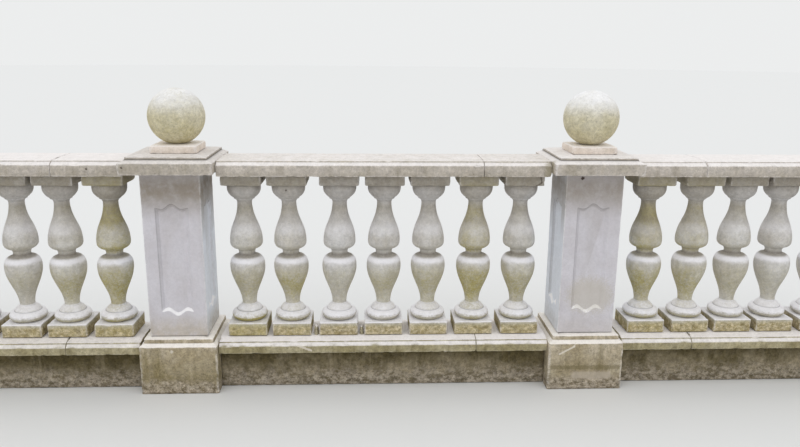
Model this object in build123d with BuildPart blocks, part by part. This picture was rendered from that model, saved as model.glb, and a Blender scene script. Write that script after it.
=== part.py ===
"""Cast stone balustrade: three bays of double vase balusters between square panelled piers.

The run lies along X and its front looks along -Y. Z is up and z = 0 is the ground.
The origin is on the ground, below the middle of the run. Sizes are in millimetres.
"""

import os

from build123d import *

# The run
bays = 3
pier_pitch = 1900.0
balusters_per_bay = 7
baluster_end_room = 129.5

# Pier base: a block with a stepped moulding on top, one casting
block_width = 357.0
block_height = 231.0
base_ledge_rise = 14.0
base_ledge_width = 19.5
base_riser_height = 20.0
base_seat_rise = 3.5

# Pier die: the square shaft with a sunk panel on each face
die_width = 264.0
die_arris = 4.0
panel_width = 150.0
panel_foot_margin = 118.0
panel_head_margin = 156.0
panel_lobe = 19.0
panel_ear = 5.0
panel_ear_width = 31.0
panel_bevel = 17.0
panel_depth = 11.0

# Pier cap, its underside a little above the top rail's
cap_width = 406.0
cap_over_rail = 16.0
cap_band = 52.0
cap_ledge_width = 27.0
cap_ledge_rise = 13.0
cap_riser = 12.0
cap_field_rise = 5.0

# Finial: a ball on a square base
ball_base_width = 207.0
ball_base_height = 34.5
ball_base_round = 11.0
ball_radius = 126.5
ball_seat_radius = 40.0
finial_shift = {2: 15.0}

# Plinth wall between the pier bases
wall_thickness = 200.0
wall_height = 185.0

# Base rail: a band, a sloping ledge, a small riser and a top that sheds water
base_rail_width = 300.0
base_rail_band = 35.0
base_rail_ledge_width = 16.0
base_rail_ledge_rise = 15.5
base_rail_riser = 4.5
base_rail_weathering = 9.0
base_rail_seat_margin = 5.0
base_rail_short = 340.0

# Top rail, of the same form
top_rail_width = 284.0
top_rail_band = 51.0
top_rail_ledge_width = 22.0
top_rail_ledge_rise = 13.5
top_rail_riser = 4.5
top_rail_crown = 3.0
top_rail_crest = 20.0
top_rail_short = 305.0
rail_arris = 3.0

# Baluster: square plinth, turned double vase and square abacus, one casting, from foot to head
plinth_width = 181.0
plinth_height = 65.0
plinth_arris = 5.0
torus_radius = 83.5
torus_height = 44.5
cushion_radius = 58.5
cushion_foot = 1.0
cushion_height = 23.5
cushion_head_radius = 40.0
lower_neck_radius = 33.5
lower_neck_height = 13.0
lower_vase_radius = 82.0
lower_body_height = 173.0
lower_shoulder_height = 59.0
waist_radius = 37.5
waist_height = 28.5
waist_head_radius = 42.5
upper_vase_radius = 76.5
upper_shoulder_height = 34.5
upper_body_height = 186.5
upper_neck_radius = 34.0
bell_cove_height = 19.0
bell_lip_radius = 48.5
bell_lip_height = 4.0
echinus_height = 47.0
drum_radius = 77.5
drum_height = 19.5
abacus_width = 182.0
abacus_height = 51.0
abacus_arris = 3.0

# How far the curves of the outline run straight on, as a share of their height or of their width
round_pull = 0.5523
cushion_pull = 0.4
cushion_slope = 0.2
body_pull = 0.36
taper_pull = 0.46
shoulder_pull = 0.71
shoulder_slope = (0.71, 0.04)
waist_pull = (0.4, 0.3)
waist_lean = 0.9
flare_slope = (0.52, 0.12)
flare_pull = 0.67
cove_pull = 0.6
cove_slope = (1 / 2, 1 / 6)
echinus_slope = (0.5, 0.16)
echinus_pull = 0.5

# Levels and places that follow from the sizes above
base_rail_level = wall_height
baluster_seat = (
    base_rail_level + base_rail_band + base_rail_ledge_rise + base_rail_riser + base_rail_weathering
)
baluster_seat_width = plinth_width + 2 * base_rail_seat_margin
baluster_height = (
    plinth_height
    + torus_height
    + cushion_foot
    + cushion_height
    + lower_neck_height
    + lower_body_height
    + lower_shoulder_height
    + waist_height
    + upper_shoulder_height
    + upper_body_height
    + bell_cove_height
    + bell_lip_height
    + echinus_height
    + drum_height
    + abacus_height
)
top_rail_level = baluster_seat + baluster_height
die_level = block_height + base_ledge_rise + base_riser_height + base_seat_rise
cap_level = top_rail_level + cap_over_rail
die_height = cap_level - die_level
panel_height = die_height - panel_foot_margin - panel_head_margin
ball_base_level = cap_level + cap_band + cap_ledge_rise + cap_riser + cap_field_rise
ball_level = ball_base_level + ball_base_height
ball_seat_depth = ball_radius - (ball_radius**2 - ball_seat_radius**2) ** 0.5
wall_length = pier_pitch - block_width
baluster_pitch = (wall_length - 2 * baluster_end_room) / (balusters_per_bay - 1)
top_rail_length = pier_pitch - cap_width
pier_places = [(i - bays / 2) * pier_pitch for i in range(bays + 1)]
bay_places = [(i - (bays - 1) / 2) * pier_pitch for i in range(bays)]


def write(piece, name):
    """Label a finished piece and write it as one STEP file."""
    piece.label = name
    export_step(piece, f"parts/{name}.step")


def mitred(outline_points, x):
    """A block of square plan whose four sides follow one outline, mitred at its corners.

    The points are half widths and heights, from the foot to the top.
    """
    half = max(point[0] for point in outline_points)
    closed = [(-r, z) for r, z in outline_points]
    closed += [(r, z) for r, z in reversed(outline_points)]
    with BuildPart() as block:
        with BuildSketch(Plane.XZ.shift_origin((x, 0, 0))):
            with BuildLine():
                Polyline(*closed, close=True)
            make_face()
        extrude(amount=half, both=True)
        with BuildSketch(Plane.YZ.offset(x)):
            with BuildLine():
                Polyline(*closed, close=True)
            make_face()
        extrude(amount=half, both=True, mode=Mode.INTERSECT)
    return block


def panel_outline(inset):
    """The edge of the sunk panel: straight sides, and ears and a lobe at each end."""
    side = panel_width / 2 - inset
    end = panel_height / 2 - inset
    ear = panel_width / 2 - panel_ear_width
    dip = end - panel_ear
    crest = end + panel_lobe
    with BuildSketch() as outline:
        with BuildLine():
            Spline((side, end), (ear, dip), (0, crest), (-ear, dip), (-side, end))
            Line((-side, end), (-side, -end))
            Spline((-side, -end), (-ear, -dip), (0, -crest), (ear, -dip), (side, -end))
            Line((side, -end), (side, end))
        make_face()
    return outline.sketch


def pier_base(x):
    """The pier's block, with a sloping ledge, a riser and the seat of the die."""
    riser = block_width / 2 - base_ledge_width
    ledge_top = block_height + base_ledge_rise
    riser_top = ledge_top + base_riser_height
    return mitred(
        [
            (block_width / 2, 0),
            (block_width / 2, block_height),
            (riser, ledge_top),
            (riser, riser_top),
            (die_width / 2, die_level),
        ],
        x,
    )


def pier_die(x):
    """The square shaft, with a bevelled panel sunk into each of its four faces."""
    panel_middle = die_level + panel_foot_margin + panel_height / 2
    with BuildPart() as die:
        with BuildSketch(Plane.XY.offset(die_level)):
            with Locations((x, 0)):
                RectangleRounded(die_width, die_width, die_arris)
        extrude(amount=die_height)
        for side in range(4):
            face = Plane(
                origin=(x, 0, panel_middle),
                x_dir=Vector(1, 0, 0).rotate(Axis.Z, 90 * side),
                z_dir=Vector(0, -1, 0).rotate(Axis.Z, 90 * side),
            ).offset(die_width / 2)
            with BuildSketch(face):
                add(panel_outline(0))
            with BuildSketch(face.offset(-panel_depth)):
                add(panel_outline(panel_bevel))
            loft(ruled=True, mode=Mode.SUBTRACT)
    return die


def pier_cap(x):
    """The cap: a band, a sloping ledge, a riser and a field that rises to the finial."""
    riser = cap_width / 2 - cap_ledge_width
    band_top = cap_level + cap_band
    ledge_top = band_top + cap_ledge_rise
    return mitred(
        [
            (cap_width / 2, cap_level),
            (cap_width / 2, band_top),
            (riser, ledge_top),
            (riser, ledge_top + cap_riser),
            (ball_base_width / 2, ball_base_level),
        ],
        x,
    )


def ball_base(x):
    """The finial's square base, with its upper edges rounded."""
    with BuildPart() as base:
        with BuildSketch(Plane.XY.offset(ball_base_level)):
            with Locations((x, 0)):
                RectangleRounded(ball_base_width, ball_base_width, ball_base_round)
        extrude(amount=ball_base_height)
        fillet(base.edges().group_by(Axis.Z)[-1], ball_base_round)
    return base


def ball(x):
    """The ball, flattened below where it is bedded on its base."""
    centre = ball_level + ball_radius - ball_seat_depth
    top = centre + ball_radius
    with BuildPart() as sphere:
        with BuildSketch(Plane.XZ.shift_origin((x, 0, 0))):
            with BuildLine():
                Line((0, top), (0, ball_level))
                Line((0, ball_level), (ball_seat_radius, ball_level))
                ThreePointArc((ball_seat_radius, ball_level), (ball_radius, centre), (0, top))
            make_face()
        revolve(axis=Axis((x, 0, 0), (0, 0, 1)))
    return sphere


def rail_outline(width, level, band, ledge_width, ledge_rise, riser, crest_width, crest_rise):
    """Half of a rail's section, from the foot of its band to the edge of its top."""
    half = width / 2
    ledge_top = level + band + ledge_rise
    return [
        (half, level),
        (half, level + band),
        (half - ledge_width, ledge_top),
        (half - ledge_width, ledge_top + riser),
        (crest_width / 2, ledge_top + riser + crest_rise),
    ]


base_rail_section = rail_outline(
    base_rail_width,
    base_rail_level,
    base_rail_band,
    base_rail_ledge_width,
    base_rail_ledge_rise,
    base_rail_riser,
    baluster_seat_width,
    base_rail_weathering,
)
top_rail_section = rail_outline(
    top_rail_width,
    top_rail_level,
    top_rail_band,
    top_rail_ledge_width,
    top_rail_ledge_rise,
    top_rail_riser,
    top_rail_crest,
    top_rail_crown,
)


def rail_stone(section, x_from, x_to):
    """One stone of a rail, its section drawn once and run from end to end."""
    closed = [(-y, z) for y, z in section] + [(y, z) for y, z in reversed(section)]
    with BuildPart() as stone:
        with BuildSketch(Plane.YZ.offset(x_from)):
            with BuildLine():
                Polyline(*closed, close=True)
            make_face()
        extrude(amount=x_to - x_from)
        ends = stone.faces().filter_by(Axis.X)
        arrises = [edge for end in ends for edge in end.edges().filter_by(Axis.Z)]
        chamfer(arrises, rail_arris)
    return stone


def plinth_wall(x):
    """The low wall between two pier bases, set back under the base rail."""
    with BuildPart() as wall:
        with BuildSketch():
            with Locations((x, 0)):
                Rectangle(wall_length, wall_thickness)
        extrude(amount=wall_height)
    return wall


def rise(start, dr, dz):
    """The point that lies dr further out and dz higher than a point of the turned outline."""
    return (start[0] + dr, start[1] + dz)


def torus_line(torus_foot):
    """The torus's half round, from the plinth up to the cushion."""
    half = torus_height / 2
    side = rise(torus_foot, half, half)
    top = rise(torus_foot, 0, torus_height)
    pull = half * round_pull
    Bezier(torus_foot, rise(torus_foot, pull, 0), rise(side, 0, -pull), side)
    Bezier(side, rise(side, 0, pull), rise(top, pull, 0), top)
    return top


def cushion_line(side, top, neck):
    """The cushion's rounded face, and the small cove that leads from it to the lower neck."""
    face = top[1] - side[1]
    cove = neck[1] - top[1]
    face_end = rise(top, face * cushion_pull, -face * cushion_slope)
    cove_start = rise(top, -cove * cushion_pull, cove * cushion_slope)
    Bezier(side, rise(side, 0, face * cushion_pull), face_end, top)
    Bezier(top, cove_start, rise(neck, 0, -cove * cushion_pull), neck)


def vase_line(neck, belly, waist):
    """The lower vase: from its neck out to its belly and back in to the waist."""
    body = belly[1] - neck[1]
    shoulder = waist[1] - belly[1]
    depth = belly[0] - waist[0]
    slope = (depth * shoulder_slope[0], -shoulder * shoulder_slope[1])
    Bezier(neck, rise(neck, 0, body * body_pull), rise(belly, 0, -body * body_pull), belly)
    Bezier(belly, rise(belly, 0, shoulder * shoulder_pull), rise(waist, *slope), waist)


def waist_line(foot, head):
    """The short neck between the two vases, which widens a little towards the upper one."""
    height = head[1] - foot[1]
    lean = (head[0] - foot[0]) * waist_lean
    Bezier(foot, rise(foot, 0, height * waist_pull[0]), rise(head, -lean, -height * waist_pull[1]), head)


def upper_vase_line(waist, belly, neck):
    """The upper vase: a quick flare from the waist's head to its belly, then a long taper to its neck."""
    flare = belly[1] - waist[1]
    body = neck[1] - belly[1]
    slope = ((belly[0] - waist[0]) * flare_slope[0], flare * flare_slope[1])
    Bezier(waist, rise(waist, *slope), rise(belly, 0, -flare * flare_pull), belly)
    Bezier(belly, rise(belly, 0, body * taper_pull), rise(neck, 0, -body * taper_pull), neck)


def bell_line(neck, lip_foot, echinus_foot, drum_foot):
    """The bell under the abacus: a cove, a narrow lip and the swelling echinus."""
    out = drum_foot[0] - echinus_foot[0]
    slope = (out * echinus_slope[0], echinus_height * echinus_slope[1])
    cove_end = rise(
        lip_foot, (neck[0] - lip_foot[0]) * cove_slope[0], -bell_cove_height * cove_slope[1]
    )
    Bezier(neck, rise(neck, 0, bell_cove_height * cove_pull), cove_end, lip_foot)
    Line(lip_foot, echinus_foot)
    drum_start = rise(drum_foot, 0, -echinus_height * echinus_pull)
    Bezier(echinus_foot, rise(echinus_foot, *slope), drum_start, drum_foot)


def baluster(x):
    """A double vase baluster: a turned outline between a square plinth and a square abacus."""
    torus_foot = (torus_radius - torus_height / 2, baluster_seat + plinth_height)
    cushion_side = (cushion_radius, torus_foot[1] + torus_height + cushion_foot)
    cushion_top = (cushion_head_radius, cushion_side[1] + cushion_height)
    lower_neck = (lower_neck_radius, cushion_top[1] + lower_neck_height)
    lower_belly = (lower_vase_radius, lower_neck[1] + lower_body_height)
    waist_foot = (waist_radius, lower_belly[1] + lower_shoulder_height)
    waist_head = (waist_head_radius, waist_foot[1] + waist_height)
    upper_belly = (upper_vase_radius, waist_head[1] + upper_shoulder_height)
    upper_neck = (upper_neck_radius, upper_belly[1] + upper_body_height)
    lip_foot = (bell_lip_radius, upper_neck[1] + bell_cove_height)
    echinus_foot = rise(lip_foot, 0, bell_lip_height)
    drum_foot = (drum_radius, echinus_foot[1] + echinus_height)
    drum_top = rise(drum_foot, 0, drum_height)
    with BuildPart() as piece:
        with BuildSketch(Plane.XZ.shift_origin((x, 0, 0))):
            with BuildLine():
                Line((0, torus_foot[1]), torus_foot)
                torus_top = torus_line(torus_foot)
                Line(torus_top, cushion_side)
                cushion_line(cushion_side, cushion_top, lower_neck)
                vase_line(lower_neck, lower_belly, waist_foot)
                waist_line(waist_foot, waist_head)
                upper_vase_line(waist_head, upper_belly, upper_neck)
                bell_line(upper_neck, lip_foot, echinus_foot, drum_foot)
                Line(drum_foot, drum_top)
                Line(drum_top, (0, drum_top[1]))
                Line((0, drum_top[1]), (0, torus_foot[1]))
            make_face()
        revolve(axis=Axis((x, 0, 0), (0, 0, 1)))
        for level, height, width, arris in (
            (baluster_seat, plinth_height, plinth_width, plinth_arris),
            (drum_top[1], abacus_height, abacus_width, abacus_arris),
        ):
            with BuildSketch(Plane.XY.offset(level)):
                with Locations((x, 0)):
                    RectangleRounded(width, width, arris)
            extrude(amount=height)
    return piece


os.makedirs("parts", exist_ok=True)

for number, x in enumerate(pier_places, start=1):
    finial_x = x + finial_shift.get(number, 0.0)
    write(pier_base(x).part, f"pier_{number}_base")
    write(pier_die(x).part, f"pier_{number}_die")
    write(pier_cap(x).part, f"pier_{number}_cap")
    write(ball_base(finial_x).part, f"pier_{number}_ball_base")
    write(ball(finial_x).part, f"pier_{number}_ball")

for number, x in enumerate(bay_places, start=1):
    write(plinth_wall(x).part, f"bay_{number}_plinth_wall")
    # The short stone ends each run of two: at the right in the first bays, at the left in the last.
    hand = -1 if number == bays else 1
    for name, section, length, short in (
        ("base_rail", base_rail_section, wall_length, base_rail_short),
        ("top_rail", top_rail_section, top_rail_length, top_rail_short),
    ):
        joint = x + hand * (length / 2 - short)
        left, right = x - length / 2, x + length / 2
        left_name, right_name = ("long", "short") if hand > 0 else ("short", "long")
        write(rail_stone(section, left, joint).part, f"bay_{number}_{name}_{left_name}")
        write(rail_stone(section, joint, right).part, f"bay_{number}_{name}_{right_name}")
    for place in range(balusters_per_bay):
        baluster_x = x + (place - (balusters_per_bay - 1) / 2) * baluster_pitch
        write(baluster(baluster_x).part, f"bay_{number}_baluster_{place + 1}")
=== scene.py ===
# %% [markdown]
# # A cast stone balustrade
#
# The real object is a terrace railing cast in pale concrete stone: turned balusters between a base
# rail and a top rail, and square piers that carry a ball on a small block. It has stood outdoors for
# decades, so rain has washed its tops white, algae has darkened its foot and lichen has coloured the
# balusters. The measured CAD solids give every size. Here each stone gets a worn skin and a finish.

# %% Load the measured frame
import math
import random

import bmesh
import bpy
import numpy as np
from mathutils import Matrix, Vector, noise


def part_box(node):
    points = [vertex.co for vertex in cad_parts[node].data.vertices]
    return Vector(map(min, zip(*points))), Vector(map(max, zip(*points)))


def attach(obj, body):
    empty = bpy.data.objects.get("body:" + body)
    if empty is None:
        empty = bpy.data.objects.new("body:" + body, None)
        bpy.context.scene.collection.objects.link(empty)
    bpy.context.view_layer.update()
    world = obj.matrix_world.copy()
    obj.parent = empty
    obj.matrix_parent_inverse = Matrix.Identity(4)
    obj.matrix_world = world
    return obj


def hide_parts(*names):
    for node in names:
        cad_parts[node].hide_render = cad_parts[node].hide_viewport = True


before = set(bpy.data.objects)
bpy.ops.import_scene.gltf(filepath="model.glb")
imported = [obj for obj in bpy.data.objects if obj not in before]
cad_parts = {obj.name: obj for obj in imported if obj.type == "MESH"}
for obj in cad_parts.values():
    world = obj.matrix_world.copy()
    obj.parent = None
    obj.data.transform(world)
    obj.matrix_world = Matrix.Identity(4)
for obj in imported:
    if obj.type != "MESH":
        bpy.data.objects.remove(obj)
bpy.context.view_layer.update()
stone_nodes = sorted(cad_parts)

# %% [markdown]
# ## The camera
#
# A photograph can be matched by hand, by turning the camera until the edges agree. Here the camera
# comes from measured points instead, so its place, its turn and its lens are plain numbers: it
# stands at eye level and looks a little down.

# %% Place the camera
MM = 0.001
photo_width = 800
photo_height = 447
focal_length_in_pixels = 728.34
camera_place = Vector((-82.2, -3331.0, 1580.65)) * MM
camera_turn = math.radians(2.6765)
camera_dip = math.radians(13.6278)
camera_roll = math.radians(0.5213)
view_depth = 200


def camera_matrix():
    """The camera's axes: its right, its up and its back, with the roll about the view."""
    forward = Vector((
        math.sin(camera_turn) * math.cos(camera_dip),
        math.cos(camera_turn) * math.cos(camera_dip),
        -math.sin(camera_dip),
    ))
    level_right = Vector((math.cos(camera_turn), -math.sin(camera_turn), 0))
    level_up = level_right.cross(forward)
    right = math.cos(camera_roll) * level_right + math.sin(camera_roll) * level_up
    up = math.cos(camera_roll) * level_up - math.sin(camera_roll) * level_right
    axes = Matrix((right, up, -forward)).transposed()
    return Matrix.Translation(camera_place) @ axes.to_4x4()


scene = bpy.context.scene
camera_data = bpy.data.cameras.new("photo_camera")
camera_data.sensor_fit = "HORIZONTAL"
camera_data.lens = focal_length_in_pixels / photo_width * camera_data.sensor_width
camera_data.clip_end = view_depth
camera = bpy.data.objects.new("photo_camera", camera_data)
camera.matrix_world = camera_matrix()
scene.collection.objects.link(camera)
scene.camera = camera
print("lens", round(camera_data.lens, 2), "mm for a frame of", photo_width, "by", photo_height)

# %% [markdown]
# ## Outlines
#
# Cast stone has no sharp edge: the mould rounds it, and frost and rain round it further. A bevel
# modifier could do that on every mesh, but it fails where a ledge is only a few millimetres wide.
# So each outline is drawn with its corners already rounded, and evenly spaced points are added
# between them for the wear that follows.

# %% Round and space an outline
corner_steps = 3
corner_share = 0.42


def rounded(corners, radius, closed=False):
    """The outline with each corner turned into a short curve, within its share of either side."""
    points = []
    for i, corner in enumerate(corners):
        corner = Vector(corner)
        if not closed and i in (0, len(corners) - 1):
            points.append(corner)
            continue
        before = Vector(corners[i - 1]) - corner
        after = Vector(corners[(i + 1) % len(corners)]) - corner
        reach = min(radius, corner_share * before.length, corner_share * after.length)
        start = corner + before.normalized() * reach
        end = corner + after.normalized() * reach
        for step in range(corner_steps + 1):
            t = step / corner_steps
            points.append(start * (1 - t) ** 2 + corner * (2 * t * (1 - t)) + end * t**2)
    return points


def spaced(points, spacing, closed=False):
    """The outline with points added so that no two are further apart than the spacing."""
    finer = []
    ends = points[1:] + points[:1] if closed else points[1:]
    for start, end in zip(points, ends):
        parts = max(1, math.ceil((end - start).length / spacing))
        finer += [start.lerp(end, part / parts) for part in range(parts)]
    if not closed:
        finer.append(points[-1])
    return finer


unit_square = [(0, 0), (1, 0), (1, 1), (0, 1)]
round_square = rounded(unit_square, 0.1, closed=True)
fine_square = spaced(round_square, 0.2, closed=True)
print("a rounded square has", len(round_square), "points,", len(fine_square), "when spaced")

# %% [markdown]
# ## Where edges and hollows are
#
# Edges chip and turn pale, hollows keep dirt. A shader can guess this from the mesh, but the guess
# changes with the mesh's spacing. An outline knows it exactly: a point that stands out from the
# middle of its neighbours is an edge, and one that lies behind it is a hollow.

# %% Measure how far each point stands out
edge_reach = 7 * MM


def standing_out(points, reach, closed=False):
    """For each point about 0.7 at a sharp edge, 0 on a flat and -0.7 in a sharp hollow."""
    line = np.array([list(point) for point in points])
    if closed:
        line = np.vstack([line, line, line, line[:1]])
    steps = np.linalg.norm(np.diff(line, axis=0), axis=1)
    along = np.concatenate([[0], np.cumsum(steps)])
    ahead = np.stack([np.interp(along + reach, along, line[:, axis]) for axis in (0, 1)], axis=1)
    behind = np.stack([np.interp(along - reach, along, line[:, axis]) for axis in (0, 1)], axis=1)
    tangent = ahead - behind
    length = np.maximum(np.linalg.norm(tangent, axis=1, keepdims=True), 1e-9)
    outward = np.stack([tangent[:, 1], -tangent[:, 0]], axis=1) / length
    offset = ((line - (ahead + behind) / 2) * outward).sum(axis=1) / reach
    return list(offset[len(points):2 * len(points)] if closed else offset)


sharp_square = spaced([Vector(corner) for corner in unit_square], 0.01, closed=True)
square_marks = standing_out(sharp_square, 0.05, closed=True)
print("sharpest mark of a square:", round(max(square_marks), 2))

# %% [markdown]
# ## Skins
#
# The stones were cast in moulds, and each form can be made of rows of points: rings up a turned
# baluster, square rings up a block, and sections along a rail. Lathe and extrude tools would need a
# different recipe for each. One function that joins such rows into quads serves them all, and it
# keeps each point's mark in the mesh as an attribute, for the wear and for the shaders.

# %% Join rows of points into a skin
corner_points = 3
corner_mark = 0.7
beside_corner_mark = 0.5
hollow_mark = -0.1


def add_skin(bm, rows, marks, first_cap=True):
    """Adds a tube of quads through closed rows of points, and a face over its ends."""
    layer = bm.verts.layers.float.get("edge") or bm.verts.layers.float.new("edge")
    grid = []
    for row, row_marks in zip(rows, marks):
        ring = [bm.verts.new(point) for point in row]
        for vert, mark in zip(ring, row_marks):
            vert[layer] = mark
        grid.append(ring)
    for lower, upper in zip(grid, grid[1:]):
        for i in range(len(lower)):
            bm.faces.new((lower[i - 1], lower[i], upper[i], upper[i - 1]))
    if first_cap:
        bm.faces.new(grid[0])
    bm.faces.new(grid[-1])


def turned_rows(profile, sides, x, y=0.0):
    """Rings round an upright axis, one for each (radius, height) of the profile."""
    turns = [2 * math.pi * side / sides for side in range(sides)]
    return [[(x + r * math.cos(a), y + r * math.sin(a), z) for a in turns] for r, z in profile]


def square_ring(half_width, corner_radius, across):
    """A rounded square seen from above, anticlockwise, with the marks of its four corners."""
    straight = half_width - corner_radius
    ring = []
    marks = []
    for quarter in range(4):
        turn = quarter * math.pi / 2
        for i in range(across):
            offset = straight * (2 * i / across - 1)
            ring.append((half_width, offset, turn))
            marks.append(0.0 if i else beside_corner_mark)
        for i in range(corner_points):
            angle = math.pi / 2 * i / corner_points
            reach = straight + corner_radius * math.cos(angle)
            ring.append((reach, straight + corner_radius * math.sin(angle), turn))
            marks.append(corner_mark if i else beside_corner_mark)
    turned = [
        (u * math.cos(turn) - v * math.sin(turn), u * math.sin(turn) + v * math.cos(turn))
        for u, v, turn in ring
    ]
    return turned, marks


def square_rows(profile, corner_radius, across, x):
    """Square rings, one for each (half width, height) of the profile, and all their marks."""
    rows = []
    marks = []
    for (half_width, z), mark in zip(profile, standing_out(profile, edge_reach)):
        ring, ring_marks = square_ring(half_width, corner_radius, across)
        rows.append([(x + px, py, z) for px, py in ring])
        marks.append([max(mark, corner) if mark > hollow_mark else mark for corner in ring_marks])
    return rows, marks


print("a square ring of 12 points a side has", len(square_ring(0.1, 0.005, 12)[0]), "points")

# %% [markdown]
# ## Wear
#
# Weathered stone is never flat: it has slow hollows, a grain that water has picked out, and chips
# along its edges. A displacement texture would also push the surface out, past the measured sizes,
# so the wear is worked out for each point, always inwards.

# %% Wear a stone inwards
# The scales are in waves a metre.
hollow_scale = 8
grain_scale = 90
grain_share = 0.25
chip_scale = 34
chip_threshold = 0.12
break_scale = 120
break_roughness = 0.18
# The joint mark darkens each stone's foot as dirt and as painted shade in the joint.
joint_mark = -0.5
joint_reach = 4 * MM


def wear(bm, hollow, chip):
    """Sinks the points along their normals: slow hollows everywhere and chips on the edges."""
    bmesh.ops.recalc_face_normals(bm, faces=bm.faces)
    bm.normal_update()
    layer = bm.verts.layers.float["edge"]
    for vert in bm.verts:
        place = vert.co.copy()
        slow = 0.5 + 0.5 * noise.fractal(place * hollow_scale, 1.0, 2.0, 3)
        grain = 0.5 + 0.5 * noise.noise(place * grain_scale)
        bite = max(0.0, noise.fractal(place * chip_scale, 0.8, 2.2, 3) - chip_threshold)
        edge = max(0.0, vert[layer]) ** 0.5
        depth = hollow * ((1 - grain_share) * slow + grain_share * grain) + chip * bite * edge
        vert.co = place - vert.normal * max(0.0, depth)


def scoop(bm, centre, radius):
    """Breaks a piece off an edge: points inside the ball are pushed out to its surface."""
    for vert in bm.verts:
        away = vert.co - centre
        if 0 < away.length < radius:
            roughness = 1 - break_roughness * abs(noise.noise(vert.co * break_scale))
            vert.co = centre + away * (radius * roughness / away.length)


def ramp(value, low, high):
    """0 below the low value, 1 above the high one, and a straight line between."""
    return min(1.0, max(0.0, (value - low) / (high - low)))


def stain(bm, name, amount_at):
    """Keeps an amount of one stain in each point of the mesh, from the point's place."""
    layer = bm.verts.layers.float.new(name)
    for vert in bm.verts:
        vert[layer] = amount_at(vert.co)


def darken_joint(bm, level, reach=joint_reach):
    """Marks the lowest points as a hollow, where a stone meets what it stands on: dirt gathers there, and
    the darkening also paints the shade in the joint.
    """
    layer = bm.verts.layers.float["edge"]
    for vert in bm.verts:
        if vert.co.z < level + reach:
            vert[layer] = joint_mark


def place_stone(bm, node, slot, lichen=0.5):
    """Makes the worn mesh an object that stands for its CAD node."""
    for name in ("algae", "soot_and_shade"):
        if name not in bm.verts.layers.float:
            bm.verts.layers.float.new(name)
    if "lichen" not in bm.verts.layers.float:
        stain(bm, "lichen", lambda place: lichen)
    mesh = bpy.data.meshes.new(node)
    bm.to_mesh(mesh)
    bm.free()
    mesh.shade_smooth()
    piece = bpy.data.objects.new("worn_" + node, mesh)
    scene.collection.objects.link(piece)
    mesh.materials.append(finishes[slot])
    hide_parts(node)
    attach(piece, "root")
    return piece


print("half way up a stain's edge the amount is", ramp(1.5, 1, 2))

# %% [markdown]
# ## Shader maths
#
# A finish is a chain of small sums: this mask times that one, one minus the next. Written as nodes
# and links by hand such a chain is long and hard to read. The class below wraps one output socket,
# so that the sums can be written as Python expressions and each adds its own Math node.


# %% Wrap a socket
class Wrapped:
    """One output socket of a finish. Arithmetic on it adds Math nodes to the finish."""

    def __init__(self, finish, socket):
        self.finish = finish
        self.socket = socket

    def math(self, operation, first, second):
        return self.finish.node("ShaderNodeMath", {"operation": operation}, {0: first, 1: second})

    def __add__(self, other):
        return self.math("ADD", self, other)

    def __radd__(self, other):
        return self.math("ADD", other, self)

    def __sub__(self, other):
        return self.math("SUBTRACT", self, other)

    def __rsub__(self, other):
        return self.math("SUBTRACT", other, self)

    def __mul__(self, other):
        return self.math("MULTIPLY", self, other)

    def __rmul__(self, other):
        return self.math("MULTIPLY", other, self)


print("sums such as 1 - mask now add their own Math nodes")


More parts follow.
